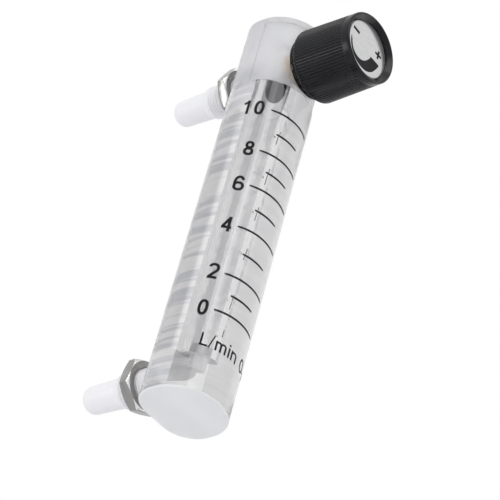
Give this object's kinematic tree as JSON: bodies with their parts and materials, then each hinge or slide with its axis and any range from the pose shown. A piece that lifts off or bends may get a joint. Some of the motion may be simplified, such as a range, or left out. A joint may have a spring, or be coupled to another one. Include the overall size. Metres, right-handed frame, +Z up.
{
  "type": "oxygen flowmeter",
  "caption": "Panel-mount gas flowmeter: clear D-section body with a tapered bore and float, a needle valve with a ribbed knob, and two rear hose nozzles with hex nuts.",
  "frame": {"origin": "on the base, under the axis of the body's rounded front", "axes": "+Z up along the metering bore, the knob faces -Y, the hose nozzles point along +Y"},
  "size_m": [0.025, 0.0739, 0.135],
  "materials": {
    "clear_acrylic": "polished clear acrylic, milled matt at the valve",
    "plug_acrylic": "clear acrylic, satin",
    "float_steel": "turned, polished",
    "white_plastic": "moulded nylon, satin",
    "black_rubber": "matt",
    "nickel_plate": "nickel plated, bright",
    "brass": "turned",
    "stainless": "ground",
    "black_plastic": "moulded, fine satin",
    "silver_disc": null
  },
  "bodies": {
    "meter": {"body": "clear_acrylic", "lower_stop": "white_plastic", "upper_stop": "white_plastic", "top_plug": "plug_acrylic", "top_plug_oring": "black_rubber", "inlet_fitting": "white_plastic", "inlet_oring": "black_rubber", "inlet_nut": "nickel_plate", "outlet_fitting": "white_plastic", "outlet_oring": "black_rubber", "outlet_nut": "nickel_plate", "valve_bushing": "brass", "bushing_collar": "black_plastic", "valve_seat": "white_plastic"},
    "float": {"float": "float_steel"},
    "stem_slide": {"stem_oring": "black_rubber"},
    "knob": {"needle_stem": "stainless", "stem_clip": "stainless", "knob_insert": "brass", "knob": "black_plastic", "knob_disc": "silver_disc"}
  },
  "joints": [
    {"name": "float_rise", "type": "slide", "parent": "meter", "child": "float", "axis": [0, 0, 1], "range_m": [-0.0904, 0]},
    {"name": "stem_travel", "type": "slide", "parent": "meter", "child": "stem_slide", "axis": [0, -1, 0], "range_m": [0, 0.00206]},
    {"name": "knob_turn", "type": "hinge", "parent": "stem_slide", "child": "knob", "pos_m": [0, -0.024, 0.1203], "axis": [0, -1, 0], "range_deg": [0, 990]}
  ],
  "couplings": [
    {"joint": "knob_turn", "follows": "stem_travel", "rad_per_m": 8377.6}
  ]
}
